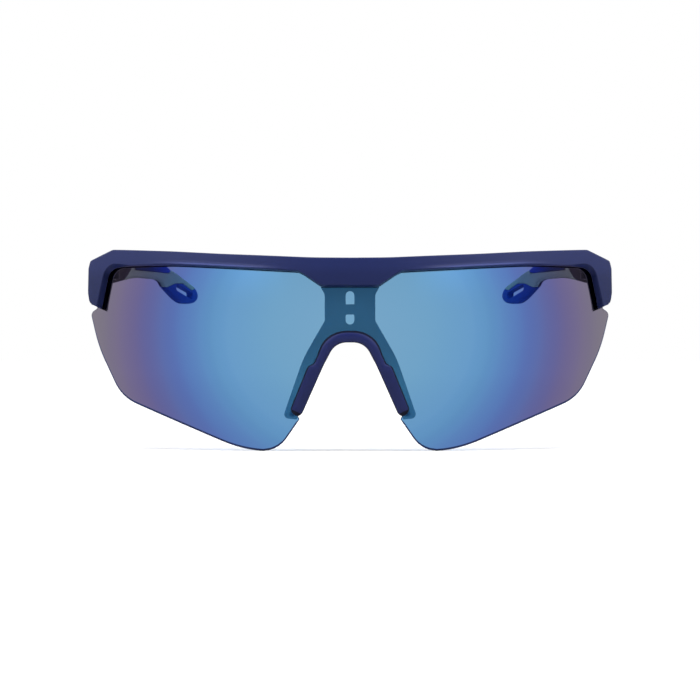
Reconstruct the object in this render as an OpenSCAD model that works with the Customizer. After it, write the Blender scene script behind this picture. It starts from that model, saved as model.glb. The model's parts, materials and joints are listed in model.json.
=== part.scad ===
// Wraparound sport sunglasses: a half-frame brow, a one-piece shield lens and two folding temples.
// The origin is the top of the nose opening, level with the foremost point of the lens.
// +X is the wearer's left, +Y runs back to the ears and +Z is up. All sizes are millimetres.

/* [Front frame] */
// Overall width across the two frame legs
frame_width = 142; // [136:1:148]
// Height of the brow's top edge at the centre, above the nose opening
brow_top = 21.8; // [20.8:0.1:23.5]
// Rise of the brow's top edge from the centre out to its corners
brow_rise = 3.05; // [2:0.05:4]
// Distance of the brow's corner from the outside of the leg
corner_inset = 7.1; // [5.5:0.1:8.5]
// Depth of the front lip over each eye
brow_lip = 3.3; // [2.8:0.1:3.9]
// Depth of the front lip at the brow's corners
corner_lip = 4.5; // [4:0.1:5.5]
// Depth of the keystone below the brow's top edge
keystone_depth = 7.5; // [6.5:0.1:8.5]
// Half width of the keystone's lower edge
keystone_half = 7.5; // [6.5:0.1:9]
// Width of the slope on each side of the keystone
keystone_slope = 5.4; // [4:0.1:7]
// Length of a leg below the brow's corner
leg_length = 15.35; // [13:0.05:17]
// Width of a leg's front lip
leg_width = 3.6; // [2.8:0.1:3.9]
// Extra width of a leg behind the lens
leg_backing = 2; // [1:0.1:2.4]
// Thickness of the lip in front of the lens
front_lip = 2.0; // [1.5:0.1:2.6]
// Thickness of the wall behind the lens
rear_wall = 2.2; // [1.8:0.1:2.8]
// Width of the wall around the edge of the lens
edge_wall = 2.2; // [1.8:0.1:2.4]
// Clearance between the lens and its groove
lens_fit = 0.15; // [0.1:0.05:0.25]

/* [Lens] */
// Radius of the lens's front surface
lens_radius = 92; // [88:1:100]
// Thickness of the lens
lens_thickness = 2.0; // [1.6:0.1:2.4]
// Height of the lens's ball centre above the nose opening
ball_z = 3; // [1:0.5:5]
// Height at which the lens passes under the end of the leg
lens_shoulder = 8.0; // [7.4:0.1:8.4]
// Sweep of the lens's side from the frame's outside in to the lower outer corner
lens_sweep = 9.45; // [8:0.05:12]
// Depth of the lower outer corner below the nose opening
outer_corner_drop = 14.5; // [12:0.1:17]
// Radius of the lower outer corner
outer_corner_radius = 11.5; // [8:0.5:14]
// Depth of the lens's lowest edge below the nose opening
lens_drop = 28.5; // [26.5:0.1:31]
// Distance from the middle at which the lower edge levels out
lower_bend_x = 27.4; // [25:0.1:30]
// Radius at which the lower edge levels out
lower_bend_radius = 18; // [12:1:19]
// Distance of the lower inner corner from the middle
inner_corner_x = 18.9; // [17.6:0.1:20]
// Radius of the lower inner corner
inner_corner_radius = 8; // [5:0.5:9]

/* [Nose] */
// Half width of the nose opening where its top corner starts
nose_half = 4.2; // [3.6:0.1:5]
// Lean of the nose opening's sides from upright
nose_lean = 24; // [22:0.5:26]
// Radius of the nose opening's top corners
nose_radius = 5.2; // [4:0.1:5.6]
// Length of the saddle along each side of the nose
saddle_length = 21.4; // [19:0.1:23]
// Width of the saddle's lip in front of the lens
saddle_lip = 2.6; // [2.2:0.1:3]
// Distance along the nose at which the saddle's lower pad starts
saddle_step = 9.5; // [8:0.5:11]
// Extra width of the saddle's lower pad where it starts
saddle_flare = 0.8; // [0.4:0.1:1]
// Thickness of the saddle's lip
saddle_thickness = 1.3; // [0.9:0.1:1.8]
// Thickness of the saddle's web through the nose opening
saddle_web = 0.65; // [0.5:0.05:0.9]
// Clearance between the saddle and what it wraps
saddle_fit = 0.1; // [0.05:0.05:0.2]
// Depth of a nose pad behind the bracket
pad_depth = 8.5; // [6:0.1:10]
// Thickness of a nose pad
pad_thickness = 2.2; // [1.6:0.1:2.4]
// Outward flare of a nose pad from front to back
pad_flare = 0.8; // [0.3:0.1:1.2]

/* [Bridge bracket] */
// Thickness of the bracket behind the lens
bracket_depth = 4.1; // [3.6:0.1:5]
// Half width of the bracket's plate behind the keystone
bracket_half = 7.6; // [7:0.1:8.5]
// Height of the bracket's top edge above the nose opening
bracket_top = 20.5; // [19.5:0.1:20.7]
// Half width of the bracket's waist
waist_half = 6.6; // [5.4:0.1:7]
// Width of a bracket arm beside the top of the nose
arm_width = 5.6; // [5:0.1:6.4]
// Width of a bracket arm at its foot
arm_foot_width = 4.2; // [3.6:0.1:4.8]
// Length of a bracket arm past the saddle
arm_overrun = 2.3; // [1.4:0.1:2.6]
// Half width of the two slots in the bracket
slot_half = 1.14; // [1:0.02:1.3]
// Height of the upper slot's flat end
upper_slot_z = 9.85; // [9:0.05:10.5]
// Height of the lower slot's flat end
lower_slot_z = 7.2; // [6.4:0.05:7.6]
// Length of each slot
slot_length = 3.5; // [2.8:0.1:3.7]
// Radius of the corners at the lower slot's flat end
slot_corner = 0.4; // [0.2:0.05:0.5]
// Radius of the bracket's screws
bridge_screw_radius = 0.7; // [0.5:0.05:0.8]
// Radius of the bracket screws' heads
bridge_head_radius = 1.4; // [1.1:0.1:1.6]

/* [Hinges] */
// Distance of the hinge axis behind the edge of the lens
hinge_setback = 11.5; // [11:0.5:15]
// Height of the hinge's middle above the nose opening
hinge_z = 20; // [19.5:0.1:20.4]
// Radius of the hinge barrel
barrel_radius = 1.7; // [1.5:0.05:1.9]
// Height of the hinge
hinge_height = 5.2; // [4.6:0.1:5.6]
// Thickness of a hinge leaf
leaf_thickness = 1.0; // [0.8:0.05:1.3]
// Length of a hinge leaf from the axis
leaf_length = 8.6; // [7.6:0.1:9.5]
// Radius of the hinge screw
hinge_screw_radius = 0.7; // [0.55:0.05:0.8]
// Radius of the hinge screw's head
hinge_head_radius = 1.2; // [1:0.05:1.3]
// Radius of the leaf rivets
rivet_radius = 0.6; // [0.4:0.05:0.7]
// Distance of the outer rivet from the leaf's end
rivet_margin = 1.6; // [1.2:0.1:1.8]
// Distance between a leaf's two rivets
rivet_pitch = 3; // [2.4:0.1:3.2]
// Running clearance between the knuckles and on the screw
hinge_fit = 0.05; // [0.03:0.01:0.08]

/* [Temples] */
// Length of a temple behind the frame
temple_length = 107; // [98:1:116]
// Inward wrap of a temple's end
temple_wrap = 18.7; // [12:0.1:21]
// Thickness of a temple at the hinge
temple_thickness = 5.5; // [5:0.1:6.2]
// Thickness of a temple's tip
tip_thickness = 2; // [1.8:0.1:3]
// Height of a temple at the hinge
temple_height = 7.7; // [7.2:0.1:8.4]
// Rise of a temple from the hinge to its crest
temple_rise = 2.5; // [1:0.1:3.2]
// Distance over which a temple rises
rise_length = 45; // [36:1:48]
// Drop of the lower edge where the heel of the tip starts
heel_drop = 6.6; // [5.6:0.1:7.2]
// Distance from the temple's end at which the lower edge starts to drop
heel_start = 45.5; // [42:0.5:50]
// Distance from the temple's end at which the lower edge levels out
heel_end = 11.5; // [9:0.5:16]
// Fall of the top edge from the crest to the temple's end
crest_fall = 10.5; // [9.4:0.1:11]
// Distance from the temple's end at which the top edge starts to fall
crest_start = 55; // [51:1:59]
// Length over which the temple's end is rounded off
end_length = 5; // [4:0.5:6]
// Place where the inner liner starts, from the hinge
liner_start = 28; // [24:1:34]
// Thickness of the inner liner
liner_thickness = 1.1; // [0.8:0.05:1.3]
// Place where the top strip starts, from the hinge
strip_start = 36; // [32:1:44]
// Height of the top strip's sill above the hinge's middle
strip_sill = 1.2; // [0.6:0.1:1.8]
// Distance of the top strip's rounded nose from the temple's end
strip_end = 29.5; // [28:0.5:34]
// Depth of the soft tip's joint below the hinge's middle
tip_sill = 3.3; // [2.8:0.1:3.8]
// Rise of the soft tip's joint to its shoulder
tip_step = 1.6; // [0.8:0.1:1.8]
// Distance from the temple's end at which that rise starts
tip_step_start = 34; // [30:1:36]
// Distance from the temple's end at which that rise ends
tip_step_end = 22; // [18:1:24]
// Height of the band that is left above the soft tip
tip_band = 1.1; // [0.9:0.1:1.4]
// Length of the cord slot between the middles of its round ends
cord_slot_length = 15; // [10:1:16]
// Distance of the cord slot's rear middle from the temple's end
cord_slot_end = 7.5; // [7:0.5:10]
// Wall between the cord slot and the joint above it
cord_slot_wall = 0.5; // [0.4:0.05:0.7]
// Width of the cord slot in the soft tip
cord_slot_width = 2.2; // [1.6:0.1:2.4]
// Gap between the frame and a temple when it is open
open_gap = 0.15; // [0.1:0.05:0.3]
// Gap between the pieces that are bonded into a temple
bond_gap = 0.04; // [0.02:0.01:0.08]

/* [Hidden] */
$fn = 64;
ball_facets = 240;
arc_steps = 6;
beyond = 1;

navy = [0.17, 0.20, 0.37];
mirror_blue = [0.38, 0.58, 0.78];
steel = [0.62, 0.63, 0.66];
soft_grey = [0.45, 0.47, 0.49];
royal_blue = [0.08, 0.16, 0.48];

// The frame's outline in front view
frame_half = frame_width / 2;
corner_x = frame_half - corner_inset;
corner_z = brow_top + brow_rise;
leg_foot = corner_z - leg_length;
leg_inner = frame_half - leg_width;
brow_bow_x = 24;
brow_bow_z = brow_top + 0.23 * brow_rise;
lip_mid_x = 36;
rear_reveal = 0.4;

// Radii of the concentric skins of the front
lens_back = lens_radius - lens_thickness;
groove_front = lens_radius + lens_fit;
groove_back = lens_back - lens_fit;
frame_front = groove_front + front_lip;
frame_back = groove_back - rear_wall;
bracket_front = groove_back;
bracket_back = bracket_front - bracket_depth;
bracket_step = frame_back - 2 * lens_fit;
saddle_back = lens_radius + saddle_fit;
saddle_front = saddle_back + saddle_thickness;

// Hinge axis on the wearer's left, and what turns on it
inner_face = frame_half - temple_thickness;
hinge_x = inner_face - leaf_thickness / 2;
hinge_y = lens_y(frame_half, ball_z) + hinge_setback;
frame_end = hinge_y - open_gap / 2;
temple_front = hinge_y + open_gap / 2;
knuckle_half = hinge_height / 6;
barrel_gap = 0.25;
barrel_room = barrel_radius + barrel_gap;
leaf_far_rivet = leaf_length - rivet_margin;
leaf_near_rivet = leaf_far_rivet - rivet_pitch;
rivet_rim = 0.4;
rivet_head_radius = rivet_radius + rivet_rim;
rivet_head_height = 0.4;
rivet_bite = 1.6;
rivet_depth = leaf_thickness + rivet_bite;
rivet_end_room = 0.1;
rivet_fit = 0.02;
hinge_head_height = 0.6;
leaf_seat = 0.05;

// Bracket screws and their seats
bridge_screw_x = 4.6;
bridge_screw_z = (brow_top - keystone_depth + bracket_top) / 2 + 0.4;
bridge_screw_fit = 0.02;
bridge_head_height = 0.9;
bridge_thread = rear_wall - 0.3;

// Nose pegs
peg_radius = 0.8;
peg_length = 1.4;
peg_fit = 0.05;
peg_along = saddle_length * 0.64;
pad_start = saddle_length * 0.28;
pad_end = saddle_length * 1.04;
pad_seat = 0.05;

// Height of the sphere's front surface behind the foremost point, at a place in front view
function ball_y(radius, x, z) = lens_radius - sqrt(radius ^ 2 - x ^ 2 - (z - ball_z) ^ 2);
function lens_y(x, z) = ball_y(lens_radius, x, z);

// Height of the brow's straight top line at x
function brow_line(x) = brow_bow_z + (corner_z - brow_bow_z) * (x - brow_bow_x) / (corner_x - brow_bow_x);

// A place beside the nose: along the nose line from its top corner, and outward from it
function nose_point(along, out) = [
    nose_half + along * sin(nose_lean) + out * cos(nose_lean),
    -along * cos(nose_lean) + out * sin(nose_lean)
];
// The top corner of the nose line moved outward by a width
function nose_corner(out) = [nose_half + out * (1 - sin(nose_lean)) / cos(nose_lean), out];

// Rounded outlines: each point is [x, z, radius]
function unit(v) = v / norm(v);
function wrapped(angle) = angle - 360 * round(angle / 360);
function corner_arc(a, b, c, radius) =
    let (
        to_a = unit(a - b),
        to_c = unit(c - b),
        half_angle = acos(max(-1, min(1, to_a * to_c))) / 2
    )
    radius == 0 || half_angle > 89.8 ? [b] :
    let (
        reach = min(radius / tan(half_angle), 0.48 * norm(a - b), 0.48 * norm(c - b)),
        fillet = reach * tan(half_angle),
        centre = b + unit(to_a + to_c) * fillet / sin(half_angle),
        from = b + to_a * reach - centre,
        to = b + to_c * reach - centre,
        start = atan2(from[1], from[0]),
        turn = wrapped(atan2(to[1], to[0]) - start)
    )
    [for (i = [0 : arc_steps]) centre + fillet * [cos(start + turn * i / arc_steps),
                                                  sin(start + turn * i / arc_steps)]];
function flat(p) = [p[0], p[1]];
function rounded(points) =
    let (n = len(points))
    [for (i = [0 : n - 1]) each corner_arc(
        flat(points[(i + n - 1) % n]), flat(points[i]), flat(points[(i + 1) % n]),
        is_undef(points[i][2]) ? 0 : points[i][2])];
function mirrored(half) = concat(half,
    [for (i = [len(half) - 1 : -1 : 0]) if (half[i][0] > 0) [-half[i][0], half[i][1], half[i][2]]]);
function with_radius(p, radius) = [p[0], p[1], radius];

// Front-view outline carried straight back through the front of the glasses
module through(points) {
    front = -hinge_setback;
    back = hinge_y + hinge_setback;
    translate([0, back, 0])
        rotate([90, 0, 0])
            linear_extrude(height = back - front)
                polygon(rounded(points));
}

// Side-view outline, given in y and z, carried across from one x to another
module across(x_from, x_to) {
    translate([x_from, 0, 0])
        rotate([90, 0, 90])
            linear_extrude(height = x_to - x_from)
                children();
}

module ball(radius) {
    translate([0, lens_radius, ball_z])
        sphere(r = radius, $fn = ball_facets);
}

module skin(inside, outside) {
    difference() {
        ball(outside);
        ball(inside);
    }
}

// Sets its children on the outward line of the ball through a place in front view
module radial(x, z) {
    depth = sqrt(lens_radius ^ 2 - x ^ 2 - (z - ball_z) ^ 2);
    translate([0, lens_radius, ball_z])
        rotate([0, acos((z - ball_z) / lens_radius), atan2(-depth, x)])
            children();
}

module both_sides() {
    children();
    mirror([1, 0, 0])
        children();
}

// Solid skin through a row of closed rings that have equal counts of points
module loft(rings) {
    m = len(rings[0]);
    last = len(rings) - 1;
    sides = [for (i = [0 : last - 1], j = [0 : m - 1])
        let (k = (j + 1) % m)
        each [[i * m + j, (i + 1) * m + k, i * m + k],
              [i * m + j, (i + 1) * m + j, (i + 1) * m + k]]];
    caps = [[for (j = [0 : m - 1]) j], [for (j = [m - 1 : -1 : 0]) last * m + j]];
    polyhedron(points = [for (ring = rings) each ring], faces = concat(sides, caps));
}

// Outlines of the front
function brow_silhouette() = mirrored([
    [0, brow_top],
    [brow_bow_x, brow_bow_z, 100],
    [corner_x, corner_z, 2.5],
    [frame_half - 0.6, brow_top + 0.1, 1],
    [frame_half, brow_top - 1.8],
    [frame_half, leg_foot + 3.7],
    [frame_half - 0.4, leg_foot + 1, 2],
    [leg_inner - leg_backing, leg_foot - 1.1],
    [leg_inner - leg_backing - 8, leg_foot - 1.1]
]);

function front_window() = mirrored([
    [0, brow_top - keystone_depth],
    [keystone_half, brow_top - keystone_depth],
    [keystone_half + keystone_slope, brow_line(lip_mid_x) - brow_lip - 2.1, 4],
    [lip_mid_x, brow_line(lip_mid_x) - brow_lip, 80],
    [leg_inner - 2.4, corner_z - corner_lip, 3.5],
    [leg_inner, leg_foot],
    [leg_inner, leg_foot - 10]
]);

function rear_window() = mirrored([
    [0, brow_top - keystone_depth + rear_reveal],
    [keystone_half + rear_reveal, brow_top - keystone_depth + rear_reveal],
    [keystone_half + keystone_slope, brow_line(lip_mid_x) - brow_lip - 2.1 + rear_reveal, 4],
    [lip_mid_x, brow_line(lip_mid_x) - brow_lip + rear_reveal, 80],
    [leg_inner - leg_backing - 2.4, corner_z - corner_lip + rear_reveal, 3.5],
    [leg_inner - leg_backing, leg_foot - 1.1],
    [leg_inner - leg_backing, leg_foot - 10]
]);

// The lens's outline, grown by a clearance where the frame holds it
function lens_outline(grow) = mirrored([
    [0, brow_top - edge_wall + grow],
    [brow_bow_x, brow_bow_z - edge_wall + grow, 100],
    [corner_x - 1, brow_line(corner_x) - edge_wall + grow, 3],
    [frame_half - edge_wall - 0.4 + grow, brow_top - edge_wall + 0.4 + grow, 4],
    [frame_half - edge_wall - 0.4 + grow, leg_foot - 0.3],
    [frame_half - 0.6, lens_shoulder, 1.5],
    [frame_half - lens_sweep + 6.4, -1.2, 40],
    [frame_half - lens_sweep, -outer_corner_drop, outer_corner_radius],
    [lower_bend_x, -lens_drop, lower_bend_radius],
    [inner_corner_x, -lens_drop, inner_corner_radius],
    nose_point(saddle_length + 2 * saddle_fit, saddle_web / 2),
    nose_point(saddle_length + 2 * saddle_fit, saddle_web + saddle_fit),
    with_radius(nose_corner(saddle_web + saddle_fit), nose_radius + saddle_web)
]);

module brow_frame() {
    color(navy)
        difference() {
            union() {
                intersection() {
                    skin(frame_back, frame_front);
                    through(brow_silhouette());
                }
                both_sides()
                    intersection() {
                        ball(frame_front);
                        through(brow_silhouette());
                        endpiece_block();
                    }
            }
            intersection() {
                skin(groove_back, groove_front);
                through(lens_outline(lens_fit));
            }
            intersection() {
                skin(lens_back, frame_front + beyond);
                through(front_window());
            }
            intersection() {
                skin(frame_back - beyond, lens_radius);
                through(rear_window());
            }
            both_sides() {
                leg_sweep();
                leaf_pocket(-1);
                leaf_rivet_holes(-1);
            }
            bridge_screw_places()
                translate([0, 0, frame_back - beyond])
                    cylinder(r = bridge_screw_radius + bridge_screw_fit, h = bridge_thread + beyond);
        }
}

// Block behind a leg that carries the hinge
module endpiece_block() {
    across(inner_face, frame_half + beyond)
        polygon([
            [lens_y(inner_face, hinge_z) - lens_thickness, leg_foot - beyond],
            [frame_end, leg_foot - beyond],
            [frame_end, hinge_z + temple_height / 2 + 0.2],
            [lens_y(inner_face, hinge_z) - lens_thickness, corner_z + beyond]
        ]);
}

// Slanted cut under the back of a leg, up to the temple's lower edge
module leg_sweep() {
    across(leg_inner - leg_backing - 4, frame_half + beyond)
        polygon([
            [lens_y(leg_inner, leg_foot) + lens_thickness + 3, leg_foot - 2],
            [frame_end + beyond, hinge_z - temple_height / 2 + 0.7 * beyond],
            [frame_end + beyond, leg_foot - 6],
            [lens_y(leg_inner, leg_foot) + lens_thickness + 3, leg_foot - 6]
        ]);
}

module shield_lens() {
    color(mirror_blue)
        intersection() {
            skin(lens_back, lens_radius);
            through(lens_outline(0));
        }
}

function bracket_outline() = mirrored([
    [0, bracket_top],
    [bracket_half, bracket_top, 1.5],
    [bracket_half, brow_top - keystone_depth - 0.1, 0.6],
    [waist_half, upper_slot_z + 2.6, 2.4],
    [waist_half, lower_slot_z - 1.65, 1],
    with_radius(nose_point(saddle_length / 3, arm_width), 30),
    with_radius(nose_point(saddle_length + arm_overrun, arm_foot_width), 1.2),
    nose_point(saddle_length + arm_overrun / 2, saddle_web + saddle_fit),
    with_radius(nose_corner(saddle_web + saddle_fit), nose_radius + saddle_web)
]);

module bridge_bracket() {
    step_z = brow_top - keystone_depth + rear_reveal - lens_fit;
    thin_z = lower_slot_z + slot_length * 1.5;
    above_z = bracket_top + beyond;
    plate_zone = [[0, above_z], [frame_half, above_z], [frame_half, step_z], [0, step_z]];
    arm_zone = [[0, thin_z], [frame_half, thin_z], [frame_half, -lens_drop], [0, -lens_drop]];
    color(navy)
        difference() {
            intersection() {
                skin(bracket_back, bracket_front);
                through(bracket_outline());
            }
            // Step that fits behind the keystone
            intersection() {
                skin(bracket_step, bracket_front + beyond);
                through(mirrored(plate_zone));
            }
            // Thinner lower part that carries the pads
            intersection() {
                skin(bracket_back - beyond, bracket_step);
                through(mirrored(arm_zone));
            }
            bracket_slots();
            bridge_screw_places() {
                translate([0, 0, bracket_back - beyond])
                    cylinder(r = bridge_screw_radius + bridge_screw_fit, h = bracket_depth + 2 * beyond);
                translate([0, 0, bracket_back - beyond])
                    cylinder(r = bridge_head_radius + lens_fit, h = bridge_head_height + beyond);
            }
            both_sides()
                pad_peg(peg_radius + peg_fit, peg_length + 0.2);
        }
}

// Two see-through slots: one with a round top, one with rounded corners and a round foot
module bracket_slots() {
    straight = slot_length - slot_half;
    lower_straight = straight - 0.9;
    corner = min(slot_corner, lower_straight / 2);
    translate([0, hinge_y, 0])
        rotate([90, 0, 0])
            linear_extrude(height = hinge_y + hinge_setback) {
                translate([-slot_half, upper_slot_z])
                    square([2 * slot_half, straight]);
                translate([0, upper_slot_z + straight])
                    circle(r = slot_half);
                translate([-slot_half, lower_slot_z - lower_straight])
                    square([2 * slot_half, lower_straight - corner]);
                translate([corner - slot_half, lower_slot_z - lower_straight])
                    square([2 * (slot_half - corner), lower_straight]);
                for (side = [-1, 1])
                    translate([side * (slot_half - corner), lower_slot_z - corner])
                        circle(r = corner);
                translate([0, lower_slot_z - lower_straight])
                    circle(r = slot_half);
            }
}

module bridge_screw_places() {
    both_sides()
        radial(bridge_screw_x, bridge_screw_z)
            children();
}

module bridge_screws() {
    shank_end = frame_back + bridge_thread - 0.2;
    color(steel)
        bridge_screw_places()
            difference() {
                union() {
                    translate([0, 0, bracket_back])
                        cylinder(r = bridge_screw_radius, h = shank_end - bracket_back);
                    translate([0, 0, bracket_back])
                        cylinder(r = bridge_head_radius, h = bridge_head_height);
                }
                cross_recess(bracket_back, bridge_head_radius, bridge_head_height);
            }
}

// Cross-shaped driver recess in a screw head that opens at height z
module cross_recess(z, head_radius, head_height) {
    depth = head_height * 0.55;
    for (turn = [0, 90])
        rotate([0, 0, turn])
            translate([-head_radius * 0.62, -head_radius * 0.14, z - beyond])
                cube([head_radius * 1.24, head_radius * 0.28, depth + beyond]);
}

function saddle_outline() = mirrored([
    with_radius(nose_corner(saddle_lip), nose_radius + saddle_lip),
    with_radius(nose_point(saddle_step - 2 * saddle_flare, saddle_lip), 1),
    with_radius(nose_point(saddle_step, saddle_lip + saddle_flare), 1),
    with_radius(nose_point(saddle_length, saddle_lip), 1.6),
    with_radius(nose_point(saddle_length, 0), 0.8),
    with_radius(nose_corner(0), nose_radius)
]);

module nose_saddle() {
    color(navy)
        difference() {
            intersection() {
                skin(bracket_step, saddle_front);
                through(saddle_outline());
            }
            // Room for the lens and the bracket behind the lip
            intersection() {
                skin(bracket_step - beyond, saddle_back);
                through(mirrored([
                    with_radius(nose_corner(saddle_web), nose_radius + saddle_web),
                    nose_point(saddle_length + 3 * saddle_lip, saddle_web),
                    nose_point(saddle_length + 3 * saddle_lip, 3 * saddle_lip),
                    [saddle_length, saddle_length],
                    [0, saddle_length]
                ]));
            }
        }
}

// A peg square to the bracket's arm, on the wearer's left
module pad_peg(radius, length) {
    place = nose_point(peg_along, saddle_web + saddle_fit + pad_thickness / 2 + 0.3);
    radial(place[0], place[1])
        translate([0, 0, bracket_step - 1.5])
            cylinder(r = radius, h = length + 1.5);
}

// One ring of the pad: a rounded blade from the bracket's arm back to the face
function pad_ring(along) =
    let (
        middle = (pad_start + pad_end) / 2,
        swell = sqrt(max(0.12, 1 - ((along - middle) / (pad_end - middle)) ^ 2)),
        half = pad_thickness / 2,
        centre = saddle_web + saddle_fit + half + 0.2,
        depth = pad_depth * swell,
        blade = [
            [0, -1], [0.45, -0.95], [0.85, -0.8], [0.97, -0.5], [1, 0],
            [0.97, 0.5], [0.85, 0.8], [0.45, 0.95], [0, 1], [-0.6, 1], [-0.6, -1]
        ]
    )
    [for (p = blade)
        let (
            back = max(p[0], 0) * depth + min(p[0], 0) * 2,
            place = nose_point(along, centre + p[1] * half + pad_flare * p[0] * p[0])
        )
        [place[0], ball_y(bracket_step, place[0], place[1]) + back, place[1]]];

module nose_pad() {
    rings = 12;
    intersection() {
        loft([for (i = [0 : rings]) pad_ring(pad_start + (pad_end - pad_start) * i / rings)]);
        ball(bracket_step - pad_seat);
    }
    intersection() {
        pad_peg(peg_radius, peg_length);
        ball(lens_back - lens_fit);
    }
}

module left_nose_pad() {
    color(navy)
        nose_pad();
}

module right_nose_pad() {
    color(navy)
        mirror([1, 0, 0])
            nose_pad();
}

// Hinge pieces on the wearer's left; side is -1 for the frame's leaf and 1 for the temple's leaf
module at_hinge() {
    translate([hinge_x, hinge_y, hinge_z])
        children();
}

module leaf_plate(side, grow) {
    start = side > 0 ? barrel_room : -leaf_length - grow;
    translate([-grow, start, -hinge_height / 2 - grow])
        cube([leaf_thickness + 2 * grow, leaf_length - barrel_room + grow, hinge_height + 2 * grow]);
}

module knuckle(z_from, z_to, side) {
    translate([0, 0, z_from])
        cylinder(r = barrel_radius, h = z_to - z_from);
    translate([0, side > 0 ? 0 : -barrel_room - leaf_thickness, z_from])
        cube([leaf_thickness, barrel_room + leaf_thickness, z_to - z_from]);
}

module leaf_pocket(side) {
    at_hinge() {
        leaf_plate(side, leaf_seat);
        foot = -hinge_height / 2 - leaf_seat;
        tall = hinge_height + 2 * leaf_seat;
        translate([-leaf_thickness, side > 0 ? -beyond : -barrel_room - beyond, foot])
            cube([2 * leaf_thickness + leaf_seat, barrel_room + 2 * beyond, tall]);
        translate([0, 0, foot])
            cylinder(r = barrel_room, h = tall);
    }
}

module leaf_rivet_places(side) {
    at_hinge()
        for (along = [leaf_near_rivet, leaf_far_rivet])
            translate([0, side * along, 0])
                rotate([0, 90, 0])
                    children();
}

module leaf_rivet_holes(side) {
    leaf_rivet_places(side)
        translate([0, 0, -beyond])
            cylinder(r = rivet_radius + rivet_fit, h = rivet_depth + rivet_end_room + beyond);
}

module leaf_rivets(side) {
    color(steel)
        leaf_rivet_places(side) {
            cylinder(r = rivet_radius, h = rivet_depth);
            translate([0, 0, -rivet_head_height])
                cylinder(r1 = rivet_head_radius * 0.7, r2 = rivet_head_radius, h = rivet_head_height);
        }
}

module frame_leaf() {
    color(steel)
        difference() {
            at_hinge() {
                leaf_plate(-1, 0);
                knuckle(knuckle_half + hinge_fit, hinge_height / 2, -1);
                knuckle(-hinge_height / 2, -knuckle_half - hinge_fit, -1);
            }
            at_hinge() {
                translate([0, 0, -hinge_height])
                    cylinder(r = hinge_screw_radius + hinge_fit / 2, h = 2 * hinge_height);
                translate([0, 0, hinge_height / 2 - hinge_head_height])
                    cylinder(r = hinge_head_radius + hinge_fit, h = hinge_head_height + beyond);
            }
            leaf_rivet_holes(-1);
        }
}

module temple_leaf() {
    color(steel)
        difference() {
            at_hinge() {
                leaf_plate(1, 0);
                knuckle(-knuckle_half, knuckle_half, 1);
            }
            at_hinge()
                translate([0, 0, -hinge_height])
                    cylinder(r = hinge_screw_radius + hinge_fit, h = 2 * hinge_height);
            leaf_rivet_holes(1);
        }
}

module left_frame_leaf() {
    frame_leaf();
}

module right_frame_leaf() {
    mirror([1, 0, 0])
        frame_leaf();
}

module left_temple_leaf() {
    temple_leaf();
}

module right_temple_leaf() {
    mirror([1, 0, 0])
        temple_leaf();
}

module frame_leaf_rivets() {
    both_sides()
        leaf_rivets(-1);
}

module left_temple_rivets() {
    leaf_rivets(1);
}

module right_temple_rivets() {
    mirror([1, 0, 0])
        leaf_rivets(1);
}

module hinge_screw() {
    head_seat = hinge_height / 2 - hinge_head_height;
    color(steel)
        at_hinge()
            difference() {
                union() {
                    translate([0, 0, -hinge_height / 2])
                        cylinder(r = hinge_screw_radius, h = hinge_height);
                    translate([0, 0, head_seat])
                        cylinder(r = hinge_head_radius, h = hinge_head_height);
                }
                mirror([0, 0, 1])
                    cross_recess(-hinge_height / 2, hinge_head_radius, hinge_head_height);
            }
}

module left_hinge_screw() {
    hinge_screw();
}

module right_hinge_screw() {
    mirror([1, 0, 0])
        hinge_screw();
}

// The temple on the wearer's left, by distance back from its front end
function share(back) = back / temple_length;
function eased(t) = let (u = max(0, min(1, t))) u * u * (3 - 2 * u);
function inner_x(back) = inner_face - temple_wrap * share(back) ^ 1.5;
function thickness_at(back) = tip_thickness + (temple_thickness - tip_thickness) * (1 - share(back)) ^ 3;
function rise_at(back) = temple_rise * (1 - cos(180 * min(1, back / rise_length))) / 2;
function low_edge(back) =
    hinge_z - temple_height / 2 + rise_at(back)
    - heel_drop * eased((back - temple_length + heel_start) / (heel_start - heel_end));
function top_edge(back) =
    hinge_z + temple_height / 2 + rise_at(back)
    - crest_fall * max(0, (back - temple_length + crest_start) / crest_start) ^ 1.15;
function middle_z(back) = (top_edge(back) + low_edge(back)) / 2;
// The joint above the soft tip: level, up a step, then along the top edge until it closes the band
function joint_z(back) =
    let (
        step = eased((back - temple_length + tip_step_start) / (tip_step_start - tip_step_end)),
        closing = max(0, 2 * (back - temple_length + cord_slot_end) / cord_slot_end)
    )
    min(hinge_z - tip_sill + tip_step * step, top_edge(back) - tip_band)
    + tip_band * closing;
// The last stretch of the temple rounds off
function end_round(back) =
    let (past = max(0, (back - temple_length + end_length) / end_length))
    sqrt(max(0.06, 1 - past ^ 2));

// A rounded oblong ring, with the frame's bevel on its top outer corner at the front
function temple_ring(back) =
    let (
        squareness = 0.42,
        bevel = squareness + 0.58 * max(0, 1 - back / liner_start),
        facets = 16,
        half_width = thickness_at(back) / 2 * (0.4 + 0.6 * end_round(back)),
        half_height = (top_edge(back) - low_edge(back)) / 2 * end_round(back),
        centre_x = inner_x(back) + thickness_at(back) / 2
    )
    [for (i = [0 : facets - 1])
        let (a = 360 * i / facets, c = cos(a), s = sin(a), power = c > 0 && s > 0 ? bevel : squareness)
        [
            centre_x + half_width * sign(c) * abs(c) ^ power,
            temple_front + back,
            middle_z(back) + half_height * sign(s) * abs(s) ^ power
        ]];

module temple_body() {
    stations = 34;
    loft([for (i = [0 : stations]) temple_ring(temple_length * sin(90 * i / stations))]);
}

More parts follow.
